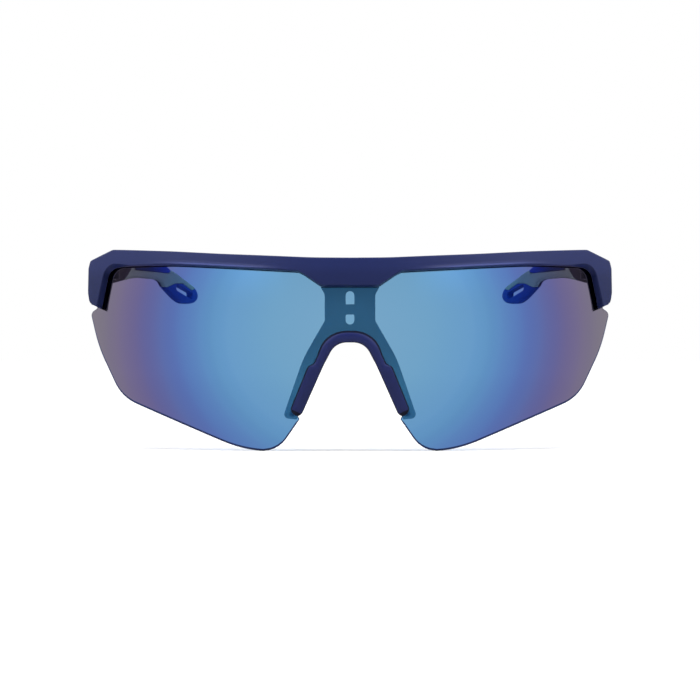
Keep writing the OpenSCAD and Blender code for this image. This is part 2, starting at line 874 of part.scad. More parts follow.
// Upright prism that holds the inner layer of the temple, down to a depth from its inner face
module inner_layer(depth, from) {
    steps = 24;
    to = temple_length + beyond;
    translate([0, 0, -temple_length])
        linear_extrude(height = 2 * temple_length)
            polygon(concat(
                [for (i = [0 : steps])
                    let (back = from + (to - from) * i / steps)
                    [inner_x(back) + depth, temple_front + back]],
                [[inner_x(to) - temple_thickness, temple_front + to],
                 [inner_x(from) - temple_thickness, temple_front + from]]
            ));
}

// Side-view region under the soft tip's joint, moved up by a gap
module under_tip_joint(gap) {
    steps = 24;
    from = temple_length - heel_start;
    to = temple_length + beyond;
    floor_z = low_edge(temple_length) - temple_height;
    across(0, frame_half)
        polygon(concat(
            [for (i = [0 : steps])
                let (back = from + (to - from) * i / steps)
                [temple_front + back, joint_z(back) + gap]],
            [[temple_front + to, floor_z], [temple_front + from, floor_z]]
        ));
}

// Side-view region of the top strip, with a round nose, grown by a gap
module strip_place(gap) {
    sill = hinge_z + strip_sill - gap;
    front = temple_front + strip_start - gap;
    nose = temple_front + temple_length - strip_end + gap;
    above = hinge_z + 2 * temple_height;
    across(0, frame_half)
        polygon(rounded([
            [front, above],
            [front, sill + strip_sill, 1],
            [front + 2 * strip_sill, sill, 2],
            [nose, sill, strip_sill / 2],
            [nose - strip_sill, sill + 2 * strip_sill],
            [nose - strip_sill, above]
        ]));
}

module temple_arm() {
    color(navy)
        difference() {
            temple_body();
            inner_layer(liner_thickness + bond_gap, liner_start);
            under_tip_joint(bond_gap);
            leaf_pocket(1);
            leaf_rivet_holes(1);
        }
}

module temple_liner() {
    color(soft_grey)
        difference() {
            intersection() {
                temple_body();
                inner_layer(liner_thickness, liner_start + bond_gap);
            }
            under_tip_joint(bond_gap);
            strip_place(bond_gap);
        }
}

module temple_strip() {
    color(royal_blue)
        intersection() {
            temple_body();
            inner_layer(liner_thickness, liner_start + bond_gap);
            strip_place(0);
        }
}

module temple_tip() {
    color(royal_blue)
        difference() {
            intersection() {
                temple_body();
                under_tip_joint(0);
            }
            cord_slot();
        }
}

// Slot through the soft tip, under its joint
module cord_slot() {
    back_end = temple_length - cord_slot_end;
    front_end = back_end - cord_slot_length;
    fall = joint_z(front_end) - joint_z(back_end);
    run = norm([cord_slot_length, fall]);
    across(0, frame_half)
        translate([temple_front + front_end, joint_z(front_end) - cord_slot_wall - cord_slot_width / 2])
            rotate(-atan2(fall, cord_slot_length)) {
                circle(r = cord_slot_width / 2);
                translate([run, 0])
                    circle(r = cord_slot_width / 2);
                translate([0, -cord_slot_width / 2])
                    square([run, cord_slot_width]);
            }
}

module left_temple_arm() {
    temple_arm();
}

module left_temple_liner() {
    temple_liner();
}

module left_temple_strip() {
    temple_strip();
}

module left_temple_tip() {
    temple_tip();
}

module right_temple_arm() {
    mirror([1, 0, 0])
        temple_arm();
}

module right_temple_liner() {
    mirror([1, 0, 0])
        temple_liner();
}

module right_temple_strip() {
    mirror([1, 0, 0])
        temple_strip();
}

module right_temple_tip() {
    mirror([1, 0, 0])
        temple_tip();
}

brow_frame();
shield_lens();
bridge_bracket();
bridge_screws();
nose_saddle();
left_nose_pad();
right_nose_pad();
left_frame_leaf();
right_frame_leaf();
frame_leaf_rivets();
left_hinge_screw();
right_hinge_screw();
left_temple_arm();
left_temple_liner();
left_temple_strip();
left_temple_tip();
left_temple_leaf();
left_temple_rivets();
right_temple_arm();
right_temple_liner();
right_temple_strip();
right_temple_tip();
right_temple_leaf();
right_temple_rivets();
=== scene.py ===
import json
import math

import bmesh
import bpy
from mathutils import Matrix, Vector


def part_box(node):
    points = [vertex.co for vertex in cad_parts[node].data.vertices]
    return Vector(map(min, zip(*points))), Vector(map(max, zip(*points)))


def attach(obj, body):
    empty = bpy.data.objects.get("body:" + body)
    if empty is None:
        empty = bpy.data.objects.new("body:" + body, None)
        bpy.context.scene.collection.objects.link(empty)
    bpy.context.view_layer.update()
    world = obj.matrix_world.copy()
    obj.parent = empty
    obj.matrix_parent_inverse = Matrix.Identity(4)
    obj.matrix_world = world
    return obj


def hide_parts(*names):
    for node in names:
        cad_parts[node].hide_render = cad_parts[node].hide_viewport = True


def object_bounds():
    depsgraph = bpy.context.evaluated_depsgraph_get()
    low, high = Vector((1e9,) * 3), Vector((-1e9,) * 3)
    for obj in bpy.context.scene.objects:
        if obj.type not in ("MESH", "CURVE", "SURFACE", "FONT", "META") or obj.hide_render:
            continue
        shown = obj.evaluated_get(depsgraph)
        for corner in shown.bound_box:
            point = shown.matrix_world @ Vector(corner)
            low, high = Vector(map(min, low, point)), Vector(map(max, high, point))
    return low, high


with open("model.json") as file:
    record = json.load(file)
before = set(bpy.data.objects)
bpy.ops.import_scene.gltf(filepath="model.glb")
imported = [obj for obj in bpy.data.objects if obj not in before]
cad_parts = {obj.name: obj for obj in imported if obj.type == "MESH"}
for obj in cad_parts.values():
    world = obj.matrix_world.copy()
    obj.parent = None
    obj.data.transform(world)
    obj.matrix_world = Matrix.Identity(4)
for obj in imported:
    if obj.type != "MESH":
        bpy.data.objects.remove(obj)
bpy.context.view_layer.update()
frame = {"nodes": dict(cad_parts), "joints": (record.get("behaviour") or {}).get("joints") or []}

# Shield lens: one sheet of polycarbonate, moulded to a ball, trimmed to its outline and polished
# round the edge. Its front has a mirror coat that turns from light blue to violet and mauve at
# the sides. It snaps into the brow's groove and nothing else holds it.
mm = 0.001
frame_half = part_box("brow_frame")[1].x / mm
lens_radius = 92.0
lens_thickness = 2.0
ball_z = 3.0
lens_fit = 0.15
edge_wall = 2.2
brow_top = 21.8
brow_bow = (24.0, 22.5)
corner = (frame_half - 7.1, 24.85)
leg_foot = 9.5
nose_half = 4.2
nose_lean = math.radians(24)
nose_radius = 5.2
saddle_length = 21.4
saddle_web = 0.65
saddle_fit = 0.1
nose_cut_length = saddle_length + 0.5


def on_ball(radius, place):
    """The point of a ball about the lens's own centre that lies behind a place in front view."""
    x, z = place
    depth = math.sqrt(radius ** 2 - x ** 2 - (z - ball_z) ** 2)
    return Vector((x, lens_radius - depth, z))


def nose_point(along, out):
    """A place beside the nose: down the nose line from its top corner, and outward from it."""
    return (nose_half + along * math.sin(nose_lean) + out * math.cos(nose_lean),
            -along * math.cos(nose_lean) + out * math.sin(nose_lean))


def rounded(points, closed=False):
    """A dense line through [x, z, radius] points, with an arc at each point that has a radius."""
    steps = 10
    line = []
    count = len(points)
    for i, point in enumerate(points):
        here = Vector(point[:2])
        radius = point[2] if len(point) > 2 else 0
        at_end = not closed and i in (0, count - 1)
        if at_end or radius == 0:
            line.append(here)
            continue
        before = Vector(points[i - 1][:2])
        after = Vector(points[(i + 1) % count][:2])
        to_before = (before - here).normalized()
        to_after = (after - here).normalized()
        half_angle = to_before.angle(to_after) / 2
        longest = 0.48 * min((before - here).length, (after - here).length)
        reach = min(radius / math.tan(half_angle), longest)
        start, end = here + to_before * reach, here + to_after * reach
        weight = math.sin(half_angle)
        for k in range(steps + 1):
            t = k / steps
            a, b, c = (1 - t) ** 2, 2 * weight * t * (1 - t), t ** 2
            line.append((start * a + here * b + end * c) / (a + b + c))
    return line


def stations(line, keys, counts):
    """Evenly spaced points along a line, with a given count between the points nearest to the keys."""
    lengths = [0.0]
    for a, b in zip(line, line[1:]):
        lengths.append(lengths[-1] + (b - a).length)

    def nearest(key):
        best = (1e9, 0.0)
        for a, b, start in zip(line, line[1:], lengths):
            step = b - a
            if step.length == 0:
                continue
            t = max(0.0, min(1.0, (key - a).dot(step) / step.length_squared))
            best = min(best, ((a + step * t - key).length, start + t * step.length))
        return best[1]

    def at(distance):
        for i in range(len(line) - 1):
            if distance <= lengths[i + 1] or i == len(line) - 2:
                span = lengths[i + 1] - lengths[i]
                t = (distance - lengths[i]) / span if span else 0
                return line[i].lerp(line[i + 1], max(0.0, min(1.0, t)))

    marks = [nearest(Vector(key)) for key in keys]
    places = [at(marks[0])]
    for a, b, count in zip(marks, marks[1:], counts):
        places += [at(a + (b - a) * (k + 1) / count) for k in range(count)]
    return places


def add_object(name, data):
    """A new object in the scene that shows a mesh, a lamp or a camera."""
    thing = bpy.data.objects.new(name, data)
    bpy.context.scene.collection.objects.link(thing)
    return thing


def closed_mesh(name, points, faces, finishes=()):
    """A mesh from points in millimetres, with doubled points joined and its faces turned outward."""
    mesh = bpy.data.meshes.new(name)
    mesh.from_pydata([Vector(p) * mm for p in points], [], faces)
    if finishes:
        mesh.polygons.foreach_set("material_index", finishes)
    work = bmesh.new()
    work.from_mesh(mesh)
    bmesh.ops.remove_doubles(work, verts=work.verts, dist=0.004 * mm)
    bmesh.ops.recalc_face_normals(work, faces=work.faces)
    work.to_mesh(mesh)
    work.free()
    return mesh


def shade_smooth(piece):
    """Shades a piece smoothly, with normals that its larger faces lead."""
    piece.data.polygons.foreach_set("use_smooth", [True] * len(piece.data.polygons))
    piece.modifiers.new("even_normals", "WEIGHTED_NORMAL").keep_sharp = True


def new_piece(name, points, faces, materials, body, slot, *nodes, finishes=()):
    """A smooth piece that rides on a body and replaces CAD nodes."""
    piece = add_object(name, closed_mesh(name, points, faces, finishes))
    for material in materials:
        piece.data.materials.append(material)
    shade_smooth(piece)
    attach(piece, body)
    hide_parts(*nodes)
    return piece


def finish_nodes(name):
    """A new material, its node tree, its shader, and the place on the piece."""
    material = bpy.data.materials.new(name)
    material.use_nodes = True
    tree = material.node_tree
    place = tree.nodes.new("ShaderNodeTexCoord").outputs["Object"]
    return material, tree, tree.nodes["Principled BSDF"], place


def feed(tree, step, inputs):
    """Sets a node's inputs to values, or links them to other nodes' outputs."""
    for name, value in inputs.items():
        if isinstance(value, bpy.types.NodeSocket):
            tree.links.new(value, step.inputs[name])
        else:
            step.inputs[name].default_value = value


def add_node(tree, kind, inputs, **settings):
    """The outputs of a new node that has its settings made and its inputs fed."""
    step = tree.nodes.new("ShaderNode" + kind)
    for setting, value in settings.items():
        setattr(step, setting, value)
    feed(tree, step, inputs)
    return step.outputs


def clouds(tree, place, scale, detail=2.0):
    """Soft clouds over a piece, from 0 to 1."""
    return add_node(tree, "TexNoise", {"Vector": place, "Scale": scale, "Detail": detail})["Fac"]


def ranged(tree, value, edge, levels=(0.0, 1.0), interpolation="LINEAR"):
    """A level that goes from the first to the second while a value crosses an edge."""
    inputs = {"Value": value, "From Min": edge[0], "From Max": edge[1], "To Min": levels[0],
              "To Max": levels[1]}
    return add_node(tree, "MapRange", inputs, interpolation_type=interpolation)[0]


def tinted(tree, value, stops, interpolation="LINEAR"):
    """A colour by a value, from stops of (position, colour), where a single number is a grey level."""
    step = tree.nodes.new("ShaderNodeValToRGB")
    feed(tree, step, {0: value})
    ramp = step.color_ramp
    ramp.interpolation = interpolation
    while len(ramp.elements) < len(stops):
        ramp.elements.new(0.5)
    for element, (position, colour) in zip(ramp.elements, stops):
        element.position = position
        element.color = (colour, colour, colour, 1) if isinstance(colour, float) else (*colour, 1)
    return step.outputs[0]


def two_tones(tree, value, dark, light):
    """A colour that drifts from dark to light with a value."""
    return tinted(tree, value, ((0.0, dark), (1.0, light)))


coat_reach = 70.5
coat_tall = 1.1
lens_ior = 1.08
coat_tints = (
    (0.000, (0.0880, 0.3150, 0.5950)),
    (0.140, (0.0810, 0.2940, 0.5750)),
    (0.310, (0.0565, 0.2430, 0.5250)),
    (0.460, (0.0345, 0.1740, 0.4760)),
    (0.518, (0.0220, 0.1240, 0.3930)),
    (0.574, (0.0163, 0.0780, 0.3290)),
    (0.650, (0.0122, 0.0390, 0.2420)),
    (0.725, (0.0150, 0.0254, 0.1660)),
    (0.800, (0.0238, 0.0206, 0.1110)),
    (0.876, (0.0410, 0.0292, 0.0885)),
    (0.930, (0.0520, 0.0398, 0.0767)),
    (1.000, (0.0640, 0.0520, 0.0718)),
)
coat_mirror = (
    (0.000, 0.45),
    (0.140, 0.44),
    (0.310, 0.36),
    (0.460, 0.26),
    (0.574, 0.13),
    (0.700, 0.07),
    (0.900, 0.14),
    (1.000, 0.16),
)


def mirror_coat():
    """Part mirror, part tinted window: strongest at the ball's axis, fading and reddening away from it."""
    material, tree, shader, place = finish_nodes("mirror_coat")
    middle = (0, 0, -coat_tall * ball_z * mm)
    flat = add_node(tree, "Mapping", {"Vector": place, "Location": middle, "Scale": (1, 0, coat_tall)})
    away = add_node(tree, "VectorMath", {0: flat[0]}, operation="LENGTH")
    spread = ranged(tree, away["Value"], (0.0, coat_reach * mm))
    feed(tree, shader, {
        "Base Color": tinted(tree, spread, coat_tints, "CARDINAL"),
        "Metallic": tinted(tree, spread, coat_mirror, "CARDINAL"),
        "Roughness": 0.03,
        "IOR": lens_ior,
        "Transmission Weight": 1.0,
    })
    return material


def lens_inside():
    """The uncoated back of the lens: clear, with a faint smoke that clouds a little over its width."""
    material, tree, shader, place = finish_nodes("lens_inside")
    smoke = clouds(tree, place, 12)
    feed(tree, shader, {
        "Base Color": two_tones(tree, smoke, (0.93, 0.95, 0.97), (0.97, 0.98, 0.99)),
        "Roughness": 0.02,
        "IOR": lens_ior,
        "Transmission Weight": 1.0,
    })
    return material


def lens_edge():
    """The polished rim, which gathers the lens's tint into a dark line."""
    material, tree, shader, place = finish_nodes("lens_edge")
    streaks = clouds(tree, place, 240)
    feed(tree, shader, {
        "Base Color": two_tones(tree, streaks, (0.012, 0.020, 0.085), (0.026, 0.044, 0.150)),
        "Roughness": 0.22,
        "Specular IOR Level": 0.1,
    })
    return material


lens_half_line = [
    (0, brow_top - edge_wall),
    (brow_bow[0], brow_bow[1] - edge_wall, 100),
    (corner[0] - 1, corner[1] - edge_wall, 3),
    (frame_half - edge_wall - 0.4, brow_top - edge_wall + 0.4, 4),
    (frame_half - edge_wall - 0.4, leg_foot - 0.3, 0.6),
    (frame_half - 0.6, 8.0, 1.5),
    (frame_half - 2.97, -1.2, 40),
    (frame_half - 9.6, -14.8, 11.5),
    (29.7, -27.9, 34),
    (19.42, -29.28, 7.8),
    (*nose_point(nose_cut_length, -0.05), 0.5),
    nose_point(nose_cut_length, saddle_web + saddle_fit),
    (nose_half + 0.49, saddle_web + saddle_fit, nose_radius + saddle_web),
    (0, saddle_web + saddle_fit),
]
lens_line = rounded(lens_half_line)
rim_side = 0.15
rim_foot = 0.4
lens_columns = (8, 10, 10, 14, 18, 10, 12)
lens_shoulder = (frame_half - 0.75, 7.6)
lens_top = stations(
    lens_line,
    ((0, 19.6), (7, 19.8), (19, 20.2), (41, 21.4), (60, 22.5), (68.4, 19.2), (68.4, 10.5), lens_shoulder),
    lens_columns)
lens_foot = stations(
    lens_line[::-1],
    ((0, 0.75), (6, -2.6), (13.3, -19.5), (21, -28.4), (46, -20.9), (63.5, -10.5), (69.3, 4.0),
     lens_shoulder),
    lens_columns)


def trimmed_sheet(top, foot):
    """Points, faces and face finishes of a curved sheet between two matched edge lines."""
    rows = 36
    rim_edge = ((1.0, 0.0), (0.3, 0.09), (0.0, 0.35))
    profile = rim_edge + tuple((share, lens_thickness - depth) for share, depth in rim_edge[::-1])
    top_all, foot_all = ([Vector((-p.x, p.y)) for p in line[:0:-1]] + line for line in (top, foot))
    loop = top_all + foot_all[-2:0:-1]
    count = len(loop)
    columns = len(top_all)
    outward = []
    for i, p in enumerate(loop):
        along = loop[(i + 1) % count] - loop[i - 1]
        outward.append(Vector((-along.y, along.x)).normalized())
    rim = [rim_side + rim_foot * max(0.0, -direction.y) for direction in outward]

    def inset(i, share):
        return loop[i] - outward[i] * rim[i] * share

    points, faces, finishes = [], [], []
    grids = []
    for depth, finish in ((0.0, 0), (lens_thickness, 1)):
        grid = {}
        for i in range(columns):
            a = inset(i, profile[0][0])
            low = i if i in (0, columns - 1) else count - i
            b = inset(low, profile[0][0])
            for j in range(rows + 1):
                if i in (0, columns - 1) and j:
                    grid[i, j] = grid[i, 0]
                    continue
                grid[i, j] = len(points)
                points.append(on_ball(lens_radius - depth, a.lerp(b, j / rows)))
        for i in range(columns - 1):
            for j in range(rows):
                ring = [grid[i, j], grid[i + 1, j], grid[i + 1, j + 1], grid[i, j + 1]]
                ring = [p for k, p in enumerate(ring) if p not in ring[:k]]
                faces.append(ring)
                finishes.append(finish)
        grids.append([grid[i, 0] for i in range(columns)]
                     + [grid[i, rows] for i in range(columns - 2, 0, -1)])
    loops = [grids[0]]
    for share, depth in profile[1:-1]:
        loops.append([len(points) + i for i in range(count)])
        points += [on_ball(lens_radius - depth, inset(i, share)) for i in range(count)]
    loops.append(grids[1])
    for a, b in zip(loops, loops[1:]):
        for i in range(count):
            k = (i + 1) % count
            faces.append([a[i], a[k], b[k], b[i]])
            finishes.append(2)
    return points, faces, finishes


lens_points, lens_faces, lens_finishes = trimmed_sheet(lens_top, lens_foot)
new_piece("lens", lens_points, lens_faces, [mirror_coat(), lens_inside(), lens_edge()],
          "front", "mirror_lens", "shield_lens", finishes=lens_finishes)

# Brow frame: a half-frame moulded in matt navy nylon, with a groove that grips the top and sides
# of the lens, a rolled bead along the lip, a keystone over the nose and a leg at each side. The
# end piece behind each leg carries the hinge.
front_lip = 2.0
rear_wall = 2.2
leg_inner = frame_half - 3.6
leg_rear = leg_inner - 1.65
groove_side = 68.55
hinge = Vector((65.0, frame["joints"][0]["pos_m"][1] / mm, 20.0))
end_face_y = hinge.y - 0.075
end_face_x = frame_half - 5.5
groove_front = lens_radius + lens_fit
groove_back = lens_radius - lens_thickness - lens_fit
frame_front = groove_front + front_lip
frame_back = groove_back - rear_wall
bead_height = 0.6
bead_middle = 0.55
bead_width = 0.42
bead_rise = (14.0, 32.0)
bead_fall = (55.0, 40.0)
keystone_edge = (17.0, 9.0)
leg_edge = (58.0, 65.0)
end_piece_edge = (61.0, 65.3)
foot_round = 0.55
brow_counts = (9, 10, 18, 18, 14, 12, 10, 8)

brow_outer = stations(
    rounded([(0, brow_top + 0.22), (10, 22.1, 150), (34, 23.23, 400), (47.5, 24.11, 60),
             (corner[0], corner[1] + 0.11, 1.5), (frame_half - 0.5, brow_top + 0.28, 0.8),
             (frame_half, brow_top - 1.8, 1), (frame_half, leg_foot + 3.9, 3),
             (frame_half - 0.5, leg_foot + 1.1, 3), (frame_half - 2.2, leg_foot + 0.3)]),
    ((0, 21.8), (7.5, 22), (12.9, 22.2), (36, 23.2), (60, 24.6), (67.2, 23.3), (71, 19.5), (71, 14),
     (frame_half - 2.2, leg_foot + 0.3)), brow_counts)
brow_window = stations(
    rounded([(0, 14.3), (7.5, 14.3, 1.2), (13.4, 18.32, 1.5), (46.5, 20.33, 60),
             (leg_inner - 2.4, 20.35, 3.5), (leg_inner, leg_foot - 0.3)]),
    ((0, 14.3), (7.3, 14.3), (12.6, 17.6), (36, 19.9), (59, 20.2), (64.6, 19.4), (66.2, 16.9),
     (67.1, 12.6), (leg_inner, leg_foot - 0.3)), brow_counts)
brow_groove = stations(
    rounded([(0, 19.75), (24, 20.45, 100), (62.9, 22.8, 3), (groove_side, 20.15, 4),
             (groove_side, leg_foot + 0.02)]),
    ((0, 19.75), (7.5, 20), (12.9, 20.2), (36, 21.2), (60, 22.6), (66.6, 21.3), (groove_side, 18.3),
     (groove_side, 13.4), (groove_side, leg_foot + 0.02)), brow_counts)
brow_rear = stations(
    rounded([(0, 14.7), (7.6, 14.7, 0.8), (13.2, 18.12, 1.2), (46.5, 20.1, 60),
             (leg_rear - 2.4, 19.95, 3.5), (leg_rear, leg_foot - 1.1)]),
    ((0, 14.7), (7.5, 14.7), (12.4, 17.5), (36, 19.75), (57, 19.9), (62.2, 19.2), (63.8, 16.4),
     (64.8, 12.0), (leg_rear, leg_foot - 1.1)), brow_counts)


def eased(place, start, end):
    """How far a place lies between two others, from 0 to 1, with a soft start and a soft end."""
    t = max(0.0, min(1.0, (place - start) / (end - start)))
    return t * t * (3 - 2 * t)


def end_piece_y(z):
    """The back of the end piece: upright at the hinge, and swept forward under it."""
    sweep_start = (35.2, leg_foot - 2)
    sweep_end = (end_face_y + 1, hinge.z - 3.15)
    rise = (z - sweep_start[1]) / (sweep_end[1] - sweep_start[1])
    return min(end_face_y, sweep_start[0] + rise * (sweep_end[0] - sweep_start[0]))


def filleted(corners):
    """A closed ring through (point, fillet) corners, each fillet drawn as a short curve."""
    ring = []
    count = len(corners)
    for i, (here, fillet) in enumerate(corners):
        if fillet == 0:
            ring.append(here)
            continue
        before = corners[i - 1][0] - here
        after = corners[(i + 1) % count][0] - here
        a = here + before.normalized() * min(fillet, 0.45 * before.length)
        c = here + after.normalized() * min(fillet, 0.45 * after.length)
        for t in (0, 0.25, 0.5, 0.75, 1):
            ring.append(a * (1 - t) ** 2 + here * 2 * t * (1 - t) + c * t ** 2)
    return ring


def brow_ring(outer, window, groove, rear):
    """One section through the brow, from its outside round the lip, the groove and the rear wall."""
    end_share = eased(outer.x, *end_piece_edge)
    leg_share = eased(window.x, *leg_edge)
    keystone_share = eased(window.x, *keystone_edge)
    bead = bead_height * eased(window.x, *bead_rise) * eased(window.x, *bead_fall)
    bevel = 0.3 + 0.8 * leg_share + 0.25 * keystone_share
    lip_edge = groove_front + 0.2 + 1.1 * (1 - leg_share) * (1 - 0.6 * keystone_share)
    outward = (outer - window).normalized()
    span = (outer - window).length
    face_top = max(bevel + 1.5, 1.9)
    corners = [(on_ball(frame_front, outer), 0.4)]
    for share in (0.75, 0.5, 0.25):
        corners.append((on_ball(frame_front, window + outward * (face_top + (span - face_top) * share)), 0))
    bead_points = 10
    bead_end = bevel + 0.12
    for k in range(bead_points):
        distance = face_top + (bead_end - face_top) * k / (bead_points - 1)
        rise = bead * math.exp(-((distance - bead_middle) / bead_width) ** 2)
        corners.append((on_ball(frame_front + rise, window + outward * distance), 0))
    lip_low = window - outward * 0.4 * leg_share
    back_low = on_ball(frame_back, rear)
    back_top = on_ball(frame_back, outer)
    middle = rear.lerp(outer, 0.35)
    block_x = max(end_face_x, outer.x)
    step_x = max(end_face_x, rear.x + 0.3)
    step = Vector((step_x, on_ball(frame_back, (step_x, middle.y)).y, middle.y))
    heel = Vector((end_face_x, end_piece_y(middle.y), middle.y))
    shoulder_z = min(outer.y, hinge.z + 3.4)
    shoulder = Vector((block_x, end_piece_y(shoulder_z), shoulder_z))
    return filleted(corners + [
        (on_ball(frame_front, window + outward * bevel), 0.08 + 0.35 * bevel),
        (on_ball(lip_edge, lip_low), 0.2),
        (on_ball(groove_front, lip_low), 0.05),
        (on_ball(groove_front, groove), 0.1),
        (on_ball(groove_back, groove), 0.1),
        (on_ball(groove_back, rear), 0.25),
        (back_low, 0.7),
        (back_low.lerp(back_top, 0.35).lerp(step, end_share), 0.1 + 0.3 * end_share),
        (back_low.lerp(back_top, 0.7).lerp(heel, end_share), 0.1 + 1.7 * end_share),
        (back_top.lerp(shoulder, end_share), 0.7),
    ])


def lofted(rings, closed_ends=True):
    """Points and faces of a skin through rings that have equal counts of points."""
    count = len(rings[0])
    points = [p for ring in rings for p in ring]
    faces = []
    for i in range(len(rings) - 1):
        for j in range(count):
            k = (j + 1) % count
            faces.append([i * count + j, i * count + k, (i + 1) * count + k, (i + 1) * count + j])
    if closed_ends:
        last = (len(rings) - 1) * count
        faces.append(list(range(count))[::-1])
        faces.append([last + j for j in range(count)])
    return points, faces


def mirrored(rings):
    """The same rings on the other side of the nose."""
    return [[Vector((-p.x, p.y, p.z)) for p in ring] for ring in rings]


def moulded_plastic(name, light, dark, roughness, grain, sheen=0.25):
    """Matt moulded nylon: slow tone changes from the melt and a fine spark-eroded grain."""
    material, tree, shader, place = finish_nodes(name)
    specks = clouds(tree, place, 2600)
    bump = add_node(tree, "Bump", {"Strength": grain, "Distance": 0.04 * mm, "Height": specks})
    feed(tree, shader, {
        "Base Color": two_tones(tree, clouds(tree, place, 45, 3.0), dark, light),
        "Roughness": ranged(tree, specks, (0.0, 1.0), (roughness - 0.06, roughness + 0.06)),
        "Normal": bump[0],
        "Specular IOR Level": sheen,
    })
    return material


def fade_to(material, share, colour):
    """Turns a finish into another colour by a share that the finish's own nodes work out."""
    tree = material.node_tree
    shade = tree.nodes["Principled BSDF"].inputs["Base Color"]
    first, second, result = 6, 7, 2
    inputs = {0: share, first: shade.links[0].from_socket, second: (*colour, 1)}
    tree.links.new(add_node(tree, "Mix", inputs, data_type="RGBA")[result], shade)


def soft_share(tree, value, start, end, least=0.0):
    """How far a value lies between two lengths, softly from the least share to 1."""
    return ranged(tree, value, (start * mm, end * mm), (least, 1.0), "SMOOTHSTEP")


def proud_share(material, start, end):
    """How far a place stands out of the brow's face, from 0 to 1 between two heights."""
    tree = material.node_tree
    place = tree.nodes["Texture Coordinate"].outputs["Object"]
    ball = (0, lens_radius * mm, ball_z * mm)
    away = add_node(tree, "VectorMath", {0: place, 1: ball}, operation="DISTANCE")
    return soft_share(tree, away["Value"], frame_front + start, frame_front + end)


def axis_share(material, axis, start, end, least=0.0):
    """How far a place lies between two others along one axis, from the least share to 1."""
    tree = material.node_tree
    place = tree.nodes["Texture Coordinate"].outputs["Object"]
    return soft_share(tree, add_node(tree, "SeparateXYZ", {0: place})[axis], start, end, least)


navy_light = (0.0130, 0.0203, 0.0930)
navy_dark = (0.0098, 0.0163, 0.0770)
# Painted shade: the brow's navy is darkened from 20.5 mm high down to 17 mm, where its lower face gets less
# of the top light.
navy_painted_shade = (0.0090, 0.0148, 0.0690)
painted_shade_edge = (20.5, 17.0)
bead_painted_highlight = (0.045, 0.060, 0.200)
navy_nylon = moulded_plastic("navy_nylon", navy_light, navy_dark, 0.34, 0.25)
fade_to(navy_nylon, axis_share(navy_nylon, "Z", *painted_shade_edge), navy_painted_shade)
# Painted highlight: where the bead stands out of the brow's face it is painted a lighter blue, as the top
# light would catch it.
fade_to(navy_nylon, proud_share(navy_nylon, 0.05, bead_height), bead_painted_highlight)

half_rings = [brow_ring(*places) for places in zip(brow_outer, brow_window, brow_groove, brow_rear)]
leg_end = half_rings[-1]
leg_middle = sum(leg_end, Vector()) / len(leg_end)
leg_down = (leg_end[0] - half_rings[-2][0]).normalized()
for turn in (0.25, 0.5, 0.75, 1.0):
    inward = foot_round * (1 - math.cos(turn * math.pi / 2))
    down = leg_down * foot_round * math.sin(turn * math.pi / 2)
    half_rings.append([p + (leg_middle - p).normalized() * inward + down for p in leg_end])
brow_rings = mirrored(half_rings[:0:-1]) + half_rings
new_piece("brow", *lofted(brow_rings), [navy_nylon], "front", "navy_plastic", "brow_frame")

# Bridge bracket and its screws: a navy nylon plate behind the keystone that splits into two arms
# for the nose, with two see-through slots. Two small steel screws hold it to the brow.
plate_foot = 3.0
arm_foot = -13.0
smoky_light = (0.013, 0.030, 0.082)
smoky_dark = (0.010, 0.024, 0.066)
smoky_clear = (0.20, 0.36, 0.42)


def maths(tree, operation, *values):
    """What an operation makes of values or other nodes' outputs."""
    return add_node(tree, "Math", dict(enumerate(values)), operation=operation)[0]


def clearing_nylon(name, light, dark, clear):
    """Moulded nylon that is smoky in the plate and lets more light through towards the arms' feet."""
    material = moulded_plastic(name, light, dark, 0.5, 0.2)
    tree = material.node_tree
    downward = axis_share(material, "Z", plate_foot, arm_foot, 0.25)
    fade_to(material, downward, clear)
    weight = maths(tree, "MULTIPLY_ADD", downward, 0.5, 0.3)
    feed(tree, tree.nodes["Principled BSDF"], {"Transmission Weight": weight, "IOR": 1.1})
    return material


def finish_cad_node(name, material):
    """Gives a piece that keeps its CAD mesh its finish."""
    mesh = frame["nodes"][name].data
    mesh.materials.clear()
    mesh.materials.append(material)


finish_cad_node("bridge_bracket", clearing_nylon("bracket_nylon", smoky_light, smoky_dark, smoky_clear))


def brushed_steel(name):
    """Black-coated stamped steel with fine brushing along its length."""
    material, tree, shader, place = finish_nodes(name)
    stretch = add_node(tree, "Mapping", {"Vector": place, "Scale": (3000, 150, 3000)})
    brushing = clouds(tree, stretch[0], 1)
    feed(tree, shader, {
        "Base Color": two_tones(tree, brushing, (0.050, 0.050, 0.056), (0.085, 0.085, 0.094)),
        "Roughness": ranged(tree, brushing, (0.0, 1.0), (0.22, 0.40)),
        "Metallic": 1.0,
    })
    return material


hinge_steel = brushed_steel("hinge_steel")
finish_cad_node("bridge_screws", hinge_steel)

# Nose saddle: a soft navy rubber arch pushed onto the lens's nose cut-out. Its lip shows in front
# of the lens and is wider over its lower pads, and its web lines the opening.
saddle_lip = 2.6
saddle_step = 10.5
saddle_step_length = 1.8
saddle_flare = 1.1
saddle_flare_loss = 0.4
saddle_crown = 0.4
saddle_crown_edge = (8.5, 4.0)
saddle_thickness = 1.3
saddle_toe = 0.3
saddle_toe_round = 1.6
bracket_step = frame_back - 2 * lens_fit
saddle_back = lens_radius + saddle_fit
saddle_front = saddle_back + saddle_thickness
arch_turn = math.pi / 2 - nose_lean
arch_reach = nose_radius * math.tan(arch_turn / 2)
arch_flat = nose_half - arch_reach
arch_bend = nose_radius * arch_turn
arch_length = arch_flat + arch_bend + saddle_length + saddle_toe - arch_reach


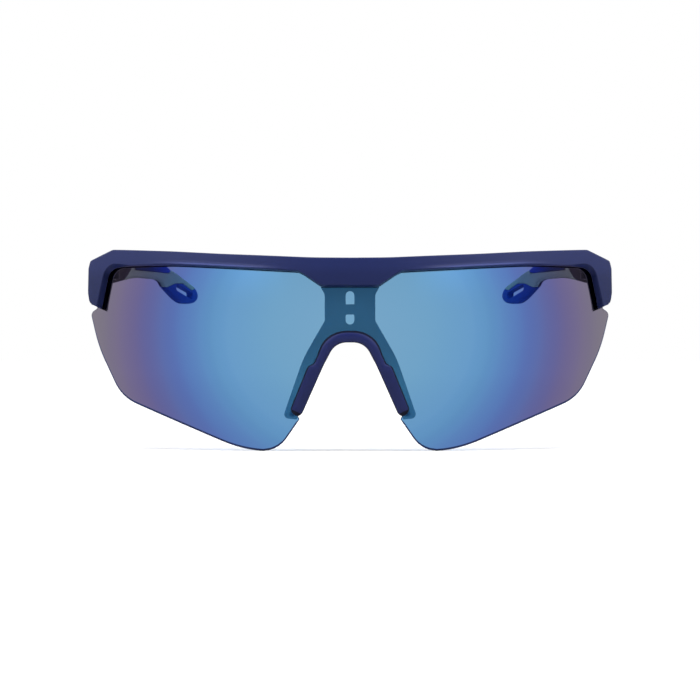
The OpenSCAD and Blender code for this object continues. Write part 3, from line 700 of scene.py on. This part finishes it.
def nose_path(along, out):
    """A place on the saddle's line, from the middle of the arch down to its foot, moved outward."""
    if along < arch_flat:
        return Vector((along, out))
    if along < arch_flat + arch_bend:
        angle = math.pi / 2 - (along - arch_flat) / nose_radius
        return Vector((arch_flat + (nose_radius + out) * math.cos(angle),
                       -nose_radius + (nose_radius + out) * math.sin(angle)))
    return Vector(nose_point(along - arch_flat - arch_bend + arch_reach, out))


def saddle_ring(along):
    """One section through the saddle: lip, front edge, web and back edge."""
    step_end = saddle_step + saddle_step_length
    step = eased(along, saddle_step, step_end)
    taper = saddle_flare * (1 - saddle_flare_loss * max(0.0, along - step_end) / (arch_length - saddle_step))
    crown = eased(along, *saddle_crown_edge)
    lip = saddle_lip + step * taper + saddle_crown * crown
    past = max(0.0, (along - arch_length + saddle_toe_round) / saddle_toe_round)
    close = math.sqrt(max(0.02, 1 - past ** 2))
    middle = lip * 0.42
    inward = 0.12 * crown + 0.17 * math.exp(-((along - 7) / 2) ** 2)
    low, high = middle * (1 - close) - inward, middle + (lip - middle) * close
    web = low + saddle_web * (0.3 + 0.7 * close)
    return filleted([
        (on_ball(saddle_back, nose_path(along, high)), 0.1),
        (on_ball(saddle_front - 0.3, nose_path(along, high - 0.42 - 0.2 * crown)), 0.2),
        (on_ball(saddle_front + 0.1, nose_path(along, (low + high) / 2)), 0),
        (on_ball(saddle_front - 0.1, nose_path(along, low)), 0.55),
        (on_ball(bracket_step, nose_path(along, low)), 0.25),
        (on_ball(bracket_step, nose_path(along, web)), 0.2),
        (on_ball(saddle_back, nose_path(along, web)), 0.1),
    ])


def soft_rubber(name, light, dark, roughness, sheen=0.2):
    """Soft moulded rubber: dull, with a faint bloom and a fine skin."""
    material, tree, shader, place = finish_nodes(name)
    skin = add_node(tree, "TexVoronoi", {"Vector": place, "Scale": 3200})["Distance"]
    bump = add_node(tree, "Bump", {"Strength": 0.15, "Distance": 0.03 * mm, "Height": skin})
    feed(tree, shader, {
        "Base Color": two_tones(tree, clouds(tree, place, 110, 4.0), dark, light),
        "Roughness": roughness,
        "Normal": bump[0],
        "Specular IOR Level": sheen,
    })
    return material


navy_rubber = soft_rubber("navy_rubber", (0.009, 0.015, 0.094), (0.007, 0.012, 0.076), 0.34, 0.3)
# Painted shade: near-black rubber on the faces along the lip's outer edge and its inner roll, and over the
# last millimetre of each toe, where shadow falls.
saddle_painted_shade = soft_rubber("saddle_painted_shade", (0.003, 0.004, 0.018), (0.002, 0.003, 0.012), 0.7)
painted_shade_faces = (2, 3, 4, 5, 13, 14, 15)
painted_shade_toe = 1.0
saddle_steps = 64
saddle_stations = [arch_length * math.sin(math.pi / 2 * i / saddle_steps) for i in range(saddle_steps + 1)]
saddle_half = [saddle_ring(along) for along in saddle_stations]
saddle_rings = mirrored(saddle_half[:0:-1]) + saddle_half
saddle_points, saddle_faces = lofted(saddle_rings)
ring_size = len(saddle_half[0])
toe_rings = sum(along > arch_length - painted_shade_toe for along in saddle_stations)
first_toe_face = (len(saddle_rings) - 1 - toe_rings) * ring_size
saddle_finishes = []
for i in range(len(saddle_faces)):
    at_toe = i < toe_rings * ring_size or i >= first_toe_face
    saddle_finishes.append(1 if at_toe or i % ring_size in painted_shade_faces else 0)
new_piece("saddle", saddle_points, saddle_faces, [navy_rubber, saddle_painted_shade], "front", "navy_rubber",
          "nose_saddle", finishes=saddle_finishes)

# Nose pads: two soft blades of the same rubber, pegged to the back of the bracket's arms, that
# bear on the sides of the nose.
pad_depth = 8.5
pad_thickness = 2.2
pad_flare = 0.8
pad_start = saddle_length * 0.28
pad_end = saddle_length * 1.04
pad_middle = (pad_start + pad_end) / 2
pad_half = pad_end - pad_middle
pad_centre = saddle_web + saddle_fit + pad_thickness / 2 + 0.2
pad_steps = 32
sides = (("left", False), ("right", True))


def pad_ring(along):
    """One section across a pad, from its seat on the arm back to its round edge."""
    swell = math.sqrt(max(0.01, 1 - ((along - pad_middle) / pad_half) ** 2))
    half = pad_thickness / 2 * (0.45 + 0.55 * swell)
    ring = []
    count = 28
    for i in range(count):
        angle = math.tau * i / count
        back = (1 - math.cos(angle)) / 2
        out = pad_centre + half * math.sin(angle) * (1 - 0.25 * back) + pad_flare * back ** 2
        seat = on_ball(bracket_step - 0.05, nose_point(along, out))
        ring.append(seat + Vector((0, pad_depth * swell * back ** 1.1, 0)))
    return ring


pad_stations = [pad_middle - pad_half * math.cos(math.pi * i / pad_steps) for i in range(pad_steps + 1)]
pad_rings = [pad_ring(along) for along in pad_stations]
for side, flip in sides:
    rings = mirrored(pad_rings) if flip else pad_rings
    new_piece(f"{side}_pad", *lofted(rings), [navy_rubber], "front", "navy_rubber", f"{side}_nose_pad")

# Hinges: stamped steel leaves riveted to the end pieces and to the temples, which turn on a steel
# screw through their knuckles.
finish_cad_node("frame_leaf_rivets", hinge_steel)
for side, flip in sides:
    for hinge_part in ("frame_leaf", "hinge_screw", "temple_leaf", "temple_rivets"):
        finish_cad_node(f"{side}_{hinge_part}", hinge_steel)

# Temples: each has a navy nylon arm, a satin grey liner bonded to its inner face, a royal-blue
# rubber strip along the top of the liner, and a royal-blue soft tip with a slot for a cord.
temple_length = 107.0
temple_front = hinge.y + 0.075
temple_wrap = 18.7
temple_thickness = 5.5
temple_height = 7.7
temple_rise = 2.5
temple_rise_length = 45.0
tip_thickness = 2.0
tip_round = 5.5
corner_power = 0.42
bevel_length = 28.0
ear_drop = 6.0
ear_drop_edge = (-44.0, -14.5)
tip_step = 0.8
tip_step_edge = (-37.7, -34.2)
waist_lift = 0.2
waist_edge = (30.0, 50.0)
heel_lift = 0.95
heel_edge = (-11.3, 3.7)
top_fall = 10.5
top_fall_length = 55.0
top_swell = 0.6
top_swell_edge = (72.0, 86.0)
top_dip = 0.55
top_dip_edge = (20.0, 0.0)
joint_start = 55.0
joint_low = hinge.z - 3.3
joint_step = 1.4
joint_step_edge = (-34.0, -22.0)
joint_cover = 1.8
joint_closing = (-7.5, -2.5)
notch_depth = 2.1
notch_length = 2.2
liner_start = 46.0
liner_toe = 24.0
liner_thickness = 1.1
liner_proud = 0.03
strip_start = 36.0
strip_sill = hinge.z + 1.0
strip_end = temple_length - 30.0
strip_proud = 0.22
strip_bite = 0.3
strip_front_round = 3.0
strip_back_round = 5.0
seam = 0.06


def temple_inner(back):
    """How far out the inner face lies: it wraps inward round the head."""
    return end_face_x - temple_wrap * (back / temple_length) ** 1.5


def temple_rise_at(back):
    """How far the temple has risen on its way from the hinge."""
    return temple_rise * (1 - math.cos(math.pi * min(1.0, back / temple_rise_length))) / 2


def low_edge(back):
    """The lower edge: straight, a small step down where the soft tip begins, and a drop to the ear."""
    to_end = back - temple_length
    drop = ear_drop * eased(to_end, *ear_drop_edge) + tip_step * eased(to_end, *tip_step_edge)
    lift = waist_lift * eased(back, *waist_edge) + heel_lift * eased(to_end, *heel_edge)
    return hinge.z - temple_height / 2 + temple_rise_at(back) - drop + lift


def top_edge(back):
    """The upper edge: dipped at the hinge, swollen before the tip, and falling to the ear."""
    fall = top_fall * max(0.0, (back - temple_length + top_fall_length) / top_fall_length) ** 1.15
    swell = top_swell * eased(back, *top_swell_edge) - top_dip * eased(back, *top_dip_edge)
    return hinge.z + temple_height / 2 + temple_rise_at(back) - fall + swell


def joint_z(back):
    """The joint above the soft tip: level, up a step, then along the top edge until it closes."""
    to_end = back - temple_length
    step = joint_step * eased(to_end, *joint_step_edge)
    closing = max(0.0, (to_end - joint_closing[0]) / (joint_closing[1] - joint_closing[0]))
    return min(joint_low + step, top_edge(back) - joint_cover) + joint_cover * closing


def temple_section(back, proud=0.0):
    """The temple's whole section at a distance back: a rounded oblong, bevelled at the front."""
    count = 96
    past = max(0.0, (back - temple_length + tip_round) / tip_round)
    close = math.sqrt(max(0.0, 1 - past ** 2))
    thinning = (1 - back / temple_length) ** 3
    thickness = tip_thickness + (temple_thickness - tip_thickness) * thinning
    half_width = thickness / 2 * (0.35 + 0.65 * close) + proud
    half_height = (top_edge(back) - low_edge(back)) / 2 * max(0.05, close) + proud
    centre = Vector((temple_inner(back) + thickness / 2, (top_edge(back) + low_edge(back)) / 2))
    bevel_power = corner_power + (1 - corner_power) * max(0.0, 1 - back / bevel_length)
    section = []
    for i in range(count):
        across = math.cos(math.tau * i / count)
        up = math.sin(math.tau * i / count)
        power = bevel_power if across > 0 and up > 0 else corner_power
        section.append(centre + Vector((math.copysign(abs(across) ** power * half_width, across),
                                        math.copysign(abs(up) ** power * half_height, up))))
    return section


def clipped(section, axis, limit, keep_above):
    """The part of a section above or below a limit on one axis."""
    sign = 1 if keep_above else -1
    kept = []
    for i, here in enumerate(section):
        before = section[i - 1]
        a, b = sign * (before[axis] - limit), sign * (here[axis] - limit)
        if (a < 0) != (b < 0):
            kept.append(before.lerp(here, a / (a - b)))
        if b >= 0:
            kept.append(here)
    return kept


def even_ring(section, back):
    """Evenly turned points on a section, with its corners slightly softened, as a ring in space."""
    count = 56
    low = Vector((min(p.x for p in section), min(p.y for p in section)))
    high = Vector((max(p.x for p in section), max(p.y for p in section)))
    middle = (low + high) / 2
    half = (high - low) / 2
    turned = []
    for i in range(count):
        angle = math.tau * (i + 0.5) / count
        ray = Vector((math.cos(angle) * half.x, math.sin(angle) * half.y))
        best = 0.0
        for a, b in zip(section, section[1:] + section[:1]):
            edge = b - a
            cross = ray.x * edge.y - ray.y * edge.x
            if abs(cross) < 1e-12:
                continue
            offset = a - middle
            t = (offset.x * edge.y - offset.y * edge.x) / cross
            u = (offset.x * ray.y - offset.y * ray.x) / cross
            if -1e-9 <= u <= 1 + 1e-9 and t > best:
                best = t
        turned.append(middle + ray * best)
    soft = [turned[i - 1] * 0.2 + turned[i] * 0.6 + turned[(i + 1) % count] * 0.2 for i in range(count)]
    return [Vector((p.x, temple_front + back, p.y)) for p in soft]


def arm_section(back):
    """The arm: notched for the knuckle, thinned for the liner, and cut off above the soft tip."""
    section = temple_section(back)
    if back < notch_length:
        notch = notch_depth * math.sqrt(max(0.0, 1 - (back / notch_length) ** 2))
        section = clipped(section, 0, end_face_x + notch, True)
    if back > liner_start:
        section = clipped(section, 0, temple_inner(back) + liner_thickness + seam, True)
    return clipped(section, 1, joint_z(back) + seam, True) if back > joint_start else section


def liner_section(back):
    """The liner: a thin inner layer with a slanted front, below the strip and above the soft tip."""
    section = clipped(temple_section(back, liner_proud), 0, temple_inner(back) + liner_thickness, False)
    if back < liner_start:
        slant = (back - liner_toe) / (liner_start - liner_toe)
        section = clipped(section, 1, low_edge(back) + slant * temple_height + 0.2, False)
    if strip_start < back < strip_end:
        section = clipped(section, 1, strip_sill - seam, False)
    return clipped(section, 1, joint_z(back) + seam, True) if back > joint_start else section


def strip_section(back):
    """The strip: the temple's top inner edge above a sill, standing proud, with rounded ends."""
    back_past = max(0.0, (back - strip_end + strip_back_round) / strip_back_round)
    front_past = max(0.0, (strip_start + strip_front_round - back) / strip_front_round)
    close = math.sqrt(max(0.0, 1 - back_past ** 2)) * math.sqrt(max(0.0, 1 - front_past ** 2))
    inner_depth = temple_inner(back) + liner_thickness + strip_bite
    section = clipped(temple_section(back, strip_proud), 0, inner_depth, False)
    top = max(p.y for p in section)
    middle = strip_sill + (top - strip_sill) * 0.4
    section = clipped(section, 1, middle - (middle - strip_sill) * close, True)
    return clipped(section, 1, middle + (top - middle) * close + 0.01, False)


def tip_section(back):
    """The soft tip: all of the section below the joint."""
    return clipped(temple_section(back), 1, joint_z(back), False)


def temple_rings(make_section, backs):
    """The rings of one temple piece, without the places where nothing of it is left."""
    least_height = 0.05
    rings = []
    for back in backs:
        section = make_section(back)
        heights = [p.y for p in section]
        if len(section) > 4 and max(heights) - min(heights) > least_height:
            rings.append(even_ring(section, back))
    return rings


def spaced(start, end, count, crowd_start=False, crowd_end=False):
    """Stations between two places, drawn closer together at the ends that ask for it."""
    places = []
    for i in range(count + 1):
        t = i / count
        if crowd_start and crowd_end:
            t = (1 - math.cos(math.pi * t)) / 2
        elif crowd_end:
            t = math.sin(math.pi / 2 * t)
        elif crowd_start:
            t = 1 - math.cos(math.pi / 2 * t)
        places.append(start + (end - start) * t)
    return places


def tapered_slot(start, end, widths, x_from, x_to):
    """A slot-shaped prism between two places in side view, as points and faces, with a width at each."""
    along = (end - start).normalized()
    across = Vector((-along.y, along.x))
    outline = []
    steps = 16
    for place, width, first_angle in zip((start, end), widths, (math.pi / 2, -math.pi / 2)):
        for i in range(steps + 1):
            angle = first_angle + math.pi * i / steps
            outline.append(place + (along * math.cos(angle) + across * math.sin(angle)) * width / 2)
    return lofted([[Vector((x, p.x, p.y)) for p in outline] for x in (x_from, x_to)])


def cut_slot(piece, points, faces):
    """Cuts a prism out of a piece and rounds the rim that it leaves."""
    cutter = add_object("slot_cutter", closed_mesh("slot_cutter", points, faces))
    cut = piece.modifiers.new("slot", "BOOLEAN")
    cut.object = cutter
    cut.solver = "EXACT"
    rim = piece.modifiers.new("rim", "BEVEL")
    rim.width = 0.22 * mm
    rim.segments = 3
    rim.limit_method = "ANGLE"
    rim.angle_limit = math.radians(50)
    piece.modifiers.move(0, 2)
    bpy.context.view_layer.update()
    solid = piece.evaluated_get(bpy.context.evaluated_depsgraph_get())
    done = bpy.data.meshes.new_from_object(solid)
    piece.modifiers.clear()
    piece.data = done
    shade_smooth(piece)
    bpy.data.objects.remove(cutter)


# The arm's faces that look to the head, ahead of the liner, are a dark brown instead of its navy.
brown_face_depth = 0.9
brown_face_facing = 0.75


def inner_face(points, face):
    """Whether a face of an arm looks to the wearer's head."""
    a, b, c = (points[i] for i in face[:3])
    across = (b - a).cross(c - a)
    middle = sum((points[i] for i in face), Vector()) / len(face)
    depth = abs(middle.x) - temple_inner(middle.y - temple_front)
    return depth < brown_face_depth and abs(across.x) > brown_face_facing * across.length


strip_unshaded_blue = (0.003, 0.058, 0.420)
strip_shade_edge = (temple_front + 50, temple_front + 74)
arm_nylon = moulded_plastic("arm_nylon", (0.011, 0.019, 0.088), (0.008, 0.015, 0.072), 0.36, 0.25)
arm_inner_brown = moulded_plastic("arm_inner_brown", (0.030, 0.022, 0.028), (0.024, 0.018, 0.022), 0.55, 0.25, 0.1)
liner_plastic = moulded_plastic("liner_plastic", (0.44, 0.58, 0.39), (0.39, 0.51, 0.34), 0.5, 0.15, 0.1)
tip_rubber = soft_rubber("tip_rubber", (0.002, 0.072, 0.380), (0.002, 0.060, 0.325), 0.55)
# Painted shadow: the strip's rubber is dark navy at its front, where the brow shades it, and fades to its
# own royal blue from 50 to 74 mm behind the hinge.
strip_rubber = soft_rubber("strip_rubber", (0.003, 0.032, 0.130), (0.002, 0.026, 0.105), 0.55)
fade_to(strip_rubber, axis_share(strip_rubber, "Y", *strip_shade_edge), strip_unshaded_blue)

break_gap = 0.02
arm_backs = (spaced(0, 3, 10) + spaced(3.8, liner_start - 0.05, 30)
             + spaced(liner_start + 0.05, temple_length, 96, crowd_end=True))
liner_backs = (spaced(liner_toe, strip_start - break_gap, 18)
               + spaced(strip_start + break_gap, strip_end - break_gap, 60)
               + spaced(strip_end + break_gap, temple_length, 40, crowd_end=True))
strip_backs = spaced(strip_start + 0.01, strip_end - 0.01, 60, True, True)
tip_backs = spaced(60, temple_length, 90, crowd_end=True)
slot_walls = (1.2, 1.7)
slot_widths = (2.0, 2.2)
slot_back = temple_length - 7.5
slot_front = slot_back - 15
slot_ends = [Vector((temple_front + back, joint_z(back) - wall))
             for back, wall in zip((slot_front, slot_back), slot_walls)]
temple_kinds = (
    ("arm", arm_section, arm_backs, [arm_nylon, arm_inner_brown], "navy_plastic"),
    ("liner", liner_section, liner_backs, [liner_plastic], "grey_plastic"),
    ("strip", strip_section, strip_backs, [strip_rubber], "blue_rubber"),
    ("tip", tip_section, tip_backs, [tip_rubber], "blue_rubber"),
)
for kind, make_section, backs, materials, slot in temple_kinds:
    kind_rings = temple_rings(make_section, backs)
    for side, flip in sides:
        points, faces = lofted(mirrored(kind_rings) if flip else kind_rings)
        finishes = [int(inner_face(points, face)) for face in faces] if kind == "arm" else ()
        piece = new_piece(f"{side}_{kind}", points, faces, materials, f"{side}_temple", slot,
                          f"{side}_temple_{kind}", finishes=finishes)
        if kind == "tip":
            slot_reach = -frame_half if flip else frame_half
            cut_slot(piece, *tapered_slot(*slot_ends, slot_widths, 0.3 * slot_reach, slot_reach))

# Stage: a white floor that the glasses stand on, a white surround and soft studio light. None of
# it is part of the glasses.
floor_size = 6.0
floor_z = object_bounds()[0][2]
floor_corners = [(x * floor_size, y * floor_size, floor_z) for x, y in ((-1, -1), (1, -1), (1, 1), (-1, 1))]
floor_mesh = bpy.data.meshes.new("floor")
floor_mesh.from_pydata(floor_corners, [], [(0, 1, 2, 3)])
floor = add_object("floor", floor_mesh)
floor_grey = (0.6, 0.6, 0.6, 1)
floor_glow = (0.46, 1.0)
floor_glow_edge = (0.15, 2.1)
floor_through = (0.95, 1.0)
floor_through_edge = (0.15, 2.5)
room_light = 0.25
wall_level = 0.6
upper_levels = ((0.0, 0.2), (0.10, 0.4), (0.22, 2.4), (0.36, 2.6), (0.48, 1.4), (0.62, 1.0), (1.0, 1.0))
upper_edge = (0.12, 0.6)


def brightest_ray(tree, kinds, least=0.0):
    """The largest of the levels given for each kind of ray, and never less than the least."""
    total = least
    for ray, level in kinds:
        total = maths(tree, "MAXIMUM", maths(tree, "MULTIPLY", ray, level), total)
    return total


def floor_paint():
    """White paint that takes the shadow near the glasses and glows into the white surround far off."""
    material, tree, shader, place = finish_nodes("floor_paint")
    tree.nodes.remove(shader)
    ray = add_node(tree, "LightPath", {})
    glossy, through = ray["Is Glossy Ray"], ray["Is Transmission Ray"]
    away = add_node(tree, "VectorMath", {0: place}, operation="LENGTH")["Value"]
    near_level = ranged(tree, away, floor_glow_edge, floor_glow)
    through_level = ranged(tree, away, floor_through_edge, floor_through)
    first_hand = brightest_ray(tree, ((ray["Is Camera Ray"], near_level),))
    second_hand = brightest_ray(tree, ((glossy, wall_level), (through, through_level)))
    paint = add_node(tree, "BsdfDiffuse", {"Color": floor_grey})
    glow = add_node(tree, "Emission", {"Strength": first_hand})
    both = add_node(tree, "AddShader", {0: paint[0], 1: glow[0]})
    mirrored_glow = add_node(tree, "Emission", {"Strength": second_hand})
    share = brightest_ray(tree, ((glossy, 1.0), (through, 1.0)))
    seen = add_node(tree, "MixShader", {0: share, 1: both[0], 2: mirrored_glow[0]})
    feed(tree, tree.nodes["Material Output"], {"Surface": seen[0]})
    return material


def white_studio():
    """A white surround with a plain room light, and brighter upper walls at the sides for the mirror."""
    world = bpy.data.worlds.new("studio")
    world.use_nodes = True
    tree = world.node_tree
    ray = add_node(tree, "LightPath", {})
    place = add_node(tree, "TexCoord", {})["Generated"]
    axes = add_node(tree, "SeparateXYZ", {0: place})
    sideways = maths(tree, "ABSOLUTE", axes["X"])
    forward = maths(tree, "MULTIPLY", axes["Y"], -1)
    half_turns = maths(tree, "DIVIDE", maths(tree, "ARCTAN2", sideways, forward), math.pi)
    upper_share = ranged(tree, axes["Z"], upper_edge, interpolation="SMOOTHSTEP")
    upper_level = tinted(tree, half_turns, upper_levels, "EASE")
    band = add_node(tree, "Mix", {0: upper_share, 2: wall_level, 3: upper_level})
    levels = ((ray["Is Camera Ray"], 1.0), (ray["Is Glossy Ray"], band[0]),
              (ray["Is Transmission Ray"], 1.0))
    strength = brightest_ray(tree, levels, room_light)
    feed(tree, tree.nodes["Background"], {"Color": (1, 1, 1, 1), "Strength": strength})
    return world


floor_mesh.materials.append(floor_paint())
bpy.context.scene.world = white_studio()


def softbox(name, place, target, width, height, watts):
    """A soft lamp that is turned to a target and shows in no picture or mirror."""
    lamp = bpy.data.lights.new(name, "AREA")
    lamp.shape = "RECTANGLE"
    lamp.size = width
    lamp.size_y = height
    lamp.energy = watts
    box = add_object(name, lamp)
    box.location = place
    box.rotation_euler = (Vector(target) - Vector(place)).to_track_quat("-Z", "Y").to_euler()
    box.visible_camera = False
    box.visible_glossy = False


front_target = (0, 0.03, 0)
back_target = (0, 0.06, 0)
softbox("top_light", (0.0, -0.45, 1.2), front_target, 1.4, 0.6, 22)
softbox("left_light", (1.3, -0.3, 0.45), front_target, 0.9, 0.9, 7)
softbox("right_light", (-1.3, -0.3, 0.45), front_target, 0.9, 0.9, 7)
softbox("left_back_light", (1.0, 1.0, 0.6), back_target, 0.9, 0.9, 5)
softbox("right_back_light", (-1.0, 1.0, 0.6), back_target, 0.9, 0.9, 5)

view_distance = 0.8
view_height = -0.002085
camera_data = bpy.data.cameras.new("camera")
camera_data.sensor_width = 36
camera_data.lens = 157.8
camera_data.clip_end = 50
camera = add_object("camera", camera_data)
camera.location = (0, -view_distance, view_height)
camera.rotation_euler = (math.pi / 2, 0, 0)
bpy.context.scene.camera = camera
bpy.context.scene.view_settings.view_transform = "Standard"
